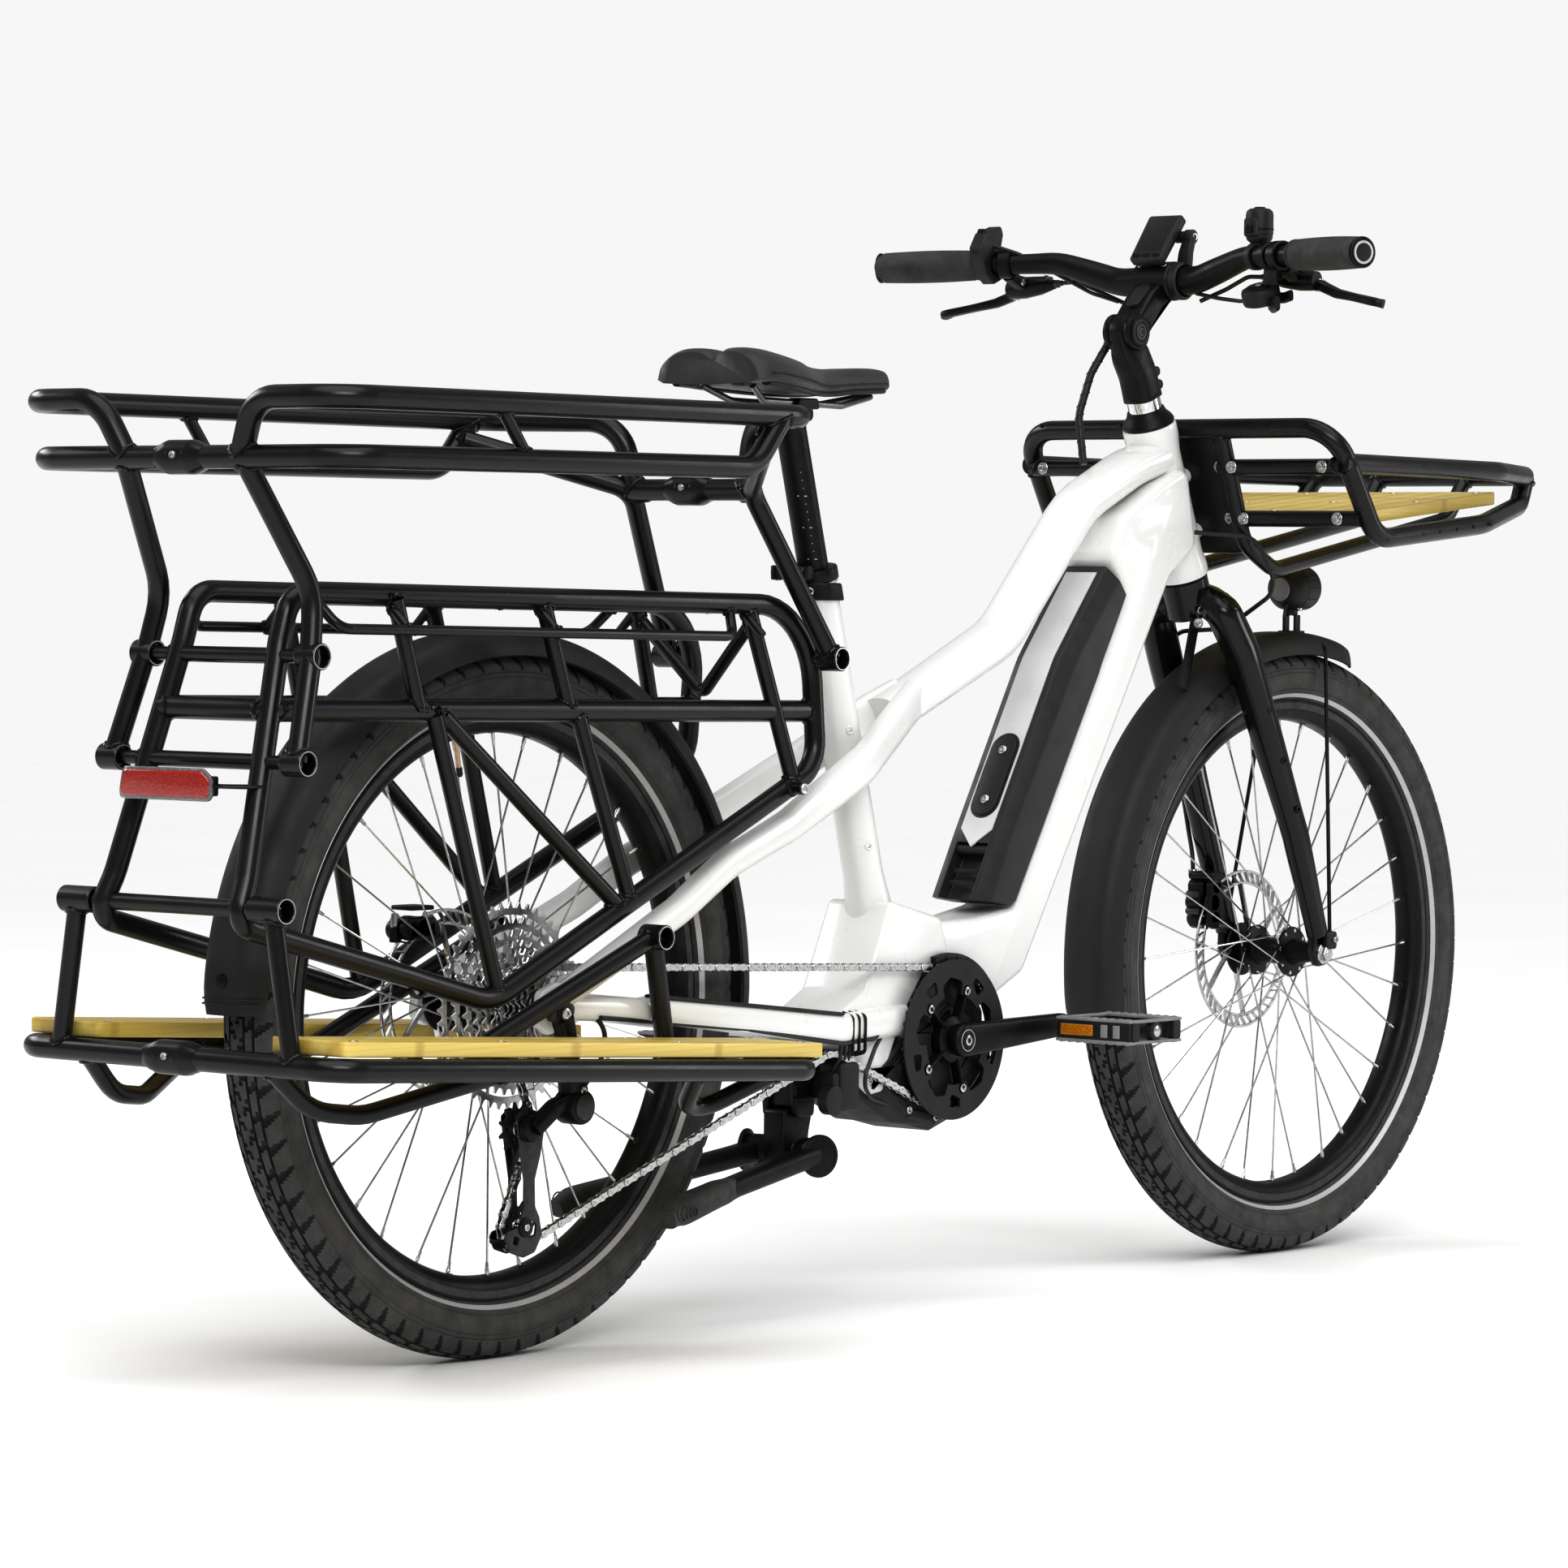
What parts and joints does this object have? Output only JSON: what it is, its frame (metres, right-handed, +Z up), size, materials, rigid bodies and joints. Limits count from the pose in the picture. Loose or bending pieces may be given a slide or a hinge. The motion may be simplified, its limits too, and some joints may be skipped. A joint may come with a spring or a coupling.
{
  "type": "longtail cargo electric bicycle",
  "caption": "Longtail cargo e-bike with a mid-drive, a long tubular rear rack with passenger rails and footboards, a front rack, fenders and a centre stand.",
  "frame": {"origin": "centre of the footprint on the floor, midway between the rear-most and front-most points", "axes": "+X forward, +Y to the rider's left, +Z up"},
  "size_m": [2.0876, 0.6692, 1.161],
  "materials": {
    "frame_white": "gloss white paint",
    "black_coat": "satin black powder coat",
    "bamboo": "clear-coated laminated bamboo",
    "battery_black": "fine-textured moulding",
    "black_plastic": "fine-textured moulding",
    "black_alloy": "black anodised",
    "silver_alloy": "satin silver",
    "steel": "bright plated steel",
    "saddle_cover": "black synthetic leather",
    "grip_rubber": "matte moulded rubber",
    "tyre_rubber": "matte black tyre",
    "pedal_grey": "grey glass-filled moulding",
    "red_lens": "clear red lens",
    "cable_black": "satin black jacket"
  },
  "bodies": {
    "frame": {"main_frame": "frame_white", "seat_collar": "black_alloy", "drive_unit": "black_plastic", "rear_rack_right": "black_coat", "rear_rack_left": "black_coat", "top_rail_right": "black_coat", "top_rail_left": "black_coat", "footboard_frame_right": "black_coat", "footboard_frame_left": "black_coat", "footboard_right": "bamboo", "footboard_left": "bamboo", "front_rack": "black_coat", "front_rack_board": "bamboo", "rear_fender": "black_plastic", "tail_light": "red_lens", "rear_caliper": "black_alloy", "derailleur_body": "black_alloy", "derailleur_cage": "black_alloy", "chain": "steel", "stand_mount": "black_alloy", "cable_loom": "cable_black"},
    "battery": {"battery": "battery_black"},
    "seat_lever": {"seat_clamp_lever": "black_alloy"},
    "seat": {"seatpost": "black_alloy", "saddle_rails": "steel", "saddle": "saddle_cover"},
    "rear_wheel": {"rear_tyre": "tyre_rubber", "rear_rim": "black_alloy", "rear_hub": "silver_alloy"},
    "cassette": {"cassette": "steel"},
    "crankset": {"chainring": "black_alloy", "crank_right": "black_alloy", "crank_left": "black_alloy"},
    "pedal_right": {"pedal_right": "pedal_grey"},
    "pedal_left": {"pedal_left": "pedal_grey"},
    "pulley_upper": {"pulley_upper": "black_plastic"},
    "pulley_lower": {"pulley_lower": "black_plastic"},
    "stand_right": {"stand_leg_right": "black_alloy"},
    "stand_left": {"stand_leg_left": "black_alloy"},
    "fork": {"fork": "black_coat", "front_fender": "black_plastic", "front_caliper": "black_alloy", "front_brake_hose": "cable_black"},
    "front_wheel": {"front_tyre": "tyre_rubber", "front_rim": "black_alloy", "front_hub": "silver_alloy"},
    "headlight": {"headlight": "black_plastic"},
    "stem": {"stem_base": "black_alloy"},
    "cockpit": {"stem_arm": "black_alloy", "handlebar": "black_alloy", "grip_right": "grip_rubber", "grip_left": "grip_rubber", "brake_body_right": "black_alloy", "brake_body_left": "black_alloy", "bell": "black_plastic", "shifter": "black_plastic", "remote": "black_plastic"},
    "display": {"display": "black_plastic"},
    "lever_right": {"brake_lever_right": "black_alloy"},
    "lever_left": {"brake_lever_left": "black_alloy"}
  },
  "joints": [
    {"name": "steering", "type": "hinge", "parent": "frame", "child": "fork", "pos_m": [0.48335, 0, 0.8465], "axis": [-0.3743, 0, 0.9273], "range_deg": [-60, 60], "deforming": ["cable_loom", "front_brake_hose"]},
    {"name": "front_wheel_spin", "type": "hinge", "parent": "fork", "child": "front_wheel", "pos_m": [0.70285, 0, 0.341], "axis": [0, 1, 0], "continuous": true},
    {"name": "rear_wheel_spin", "type": "hinge", "parent": "frame", "child": "rear_wheel", "pos_m": [-0.60915, 0, 0.341], "axis": [0, 1, 0], "continuous": true},
    {"name": "crank_spin", "type": "hinge", "parent": "frame", "child": "crankset", "pos_m": [0.04485, 0, 0.277], "axis": [0, 1, 0], "continuous": true},
    {"name": "cassette_spin", "type": "hinge", "parent": "frame", "child": "cassette", "pos_m": [-0.60915, -0.04, 0.341], "axis": [0, 1, 0], "continuous": true},
    {"name": "pulley_upper_spin", "type": "hinge", "parent": "frame", "child": "pulley_upper", "pos_m": [-0.62115, -0.05, 0.225], "axis": [0, 1, 0], "continuous": true},
    {"name": "pulley_lower_spin", "type": "hinge", "parent": "frame", "child": "pulley_lower", "pos_m": [-0.62115, -0.05, 0.131], "axis": [0, 1, 0], "continuous": true},
    {"name": "pedal_right_spin", "type": "hinge", "parent": "crankset", "child": "pedal_right", "pos_m": [0.21285, -0.146, 0.285], "axis": [0, 1, 0], "continuous": true},
    {"name": "pedal_left_spin", "type": "hinge", "parent": "crankset", "child": "pedal_left", "pos_m": [-0.12315, 0.146, 0.269], "axis": [0, 1, 0], "continuous": true},
    {"name": "stand_right_hinge", "type": "hinge", "parent": "frame", "child": "stand_right", "pos_m": [-0.15915, -0.035, 0.168], "axis": [-0.3069, -0.9517, 0], "range_deg": [0, 128]},
    {"name": "stand_left_hinge", "type": "hinge", "parent": "frame", "child": "stand_left", "pos_m": [-0.15915, 0.035, 0.168], "axis": [0.3069, -0.9517, 0], "range_deg": [0, 128]},
    {"name": "battery_tilt", "type": "hinge", "parent": "frame", "child": "battery", "pos_m": [0.11485, 0, 0.42], "axis": [0, -1, 0], "range_deg": [0, 4]},
    {"name": "seatpost_slide", "type": "slide", "parent": "frame", "child": "seat", "axis": [-0.2643, 0, 0.9645], "range_m": [-0.11, 0.08]},
    {"name": "seat_lever_hinge", "type": "hinge", "parent": "frame", "child": "seat_lever", "pos_m": [-0.15115, 0.026, 0.761], "axis": [0, 0, 1], "range_deg": [0, 150]},
    {"name": "stem_height", "type": "slide", "parent": "fork", "child": "stem", "axis": [-0.3743, 0, 0.9273], "range_m": [0, 0.03]},
    {"name": "stem_tilt", "type": "hinge", "parent": "stem", "child": "cockpit", "pos_m": [0.40585, 0, 1.029], "axis": [0, 1, 0], "range_deg": [-20, 4]},
    {"name": "display_tilt", "type": "hinge", "parent": "cockpit", "child": "display", "pos_m": [0.47985, 0, 1.136], "axis": [0, 1, 0], "range_deg": [0, 30]},
    {"name": "headlight_tilt", "type": "hinge", "parent": "fork", "child": "headlight", "pos_m": [0.72785, 0, 0.731], "axis": [0, 1, 0], "range_deg": [-15, 15]},
    {"name": "brake_right", "type": "hinge", "parent": "cockpit", "child": "lever_right", "pos_m": [0.47452, -0.206, 1.0788], "axis": [-0.5611, 0.2931, -0.7741], "range_deg": [0, 25], "stiffness_Nm_per_rad": 0.8, "springref_deg": -8.59},
    {"name": "brake_left", "type": "hinge", "parent": "cockpit", "child": "lever_left", "pos_m": [0.47452, 0.206, 1.0788], "axis": [0.5611, 0.2931, 0.7741], "range_deg": [0, 25], "stiffness_Nm_per_rad": 0.8, "springref_deg": -8.59}
  ],
  "couplings": [
    {"joint": "cassette_spin", "follows": "crank_spin", "ratio": 1.9737},
    {"joint": "pulley_upper_spin", "follows": "crank_spin", "ratio": -3.4091},
    {"joint": "pulley_lower_spin", "follows": "crank_spin", "ratio": 3.4091},
    {"joint": "stand_left_hinge", "follows": "stand_right_hinge", "ratio": 1}
  ]
}
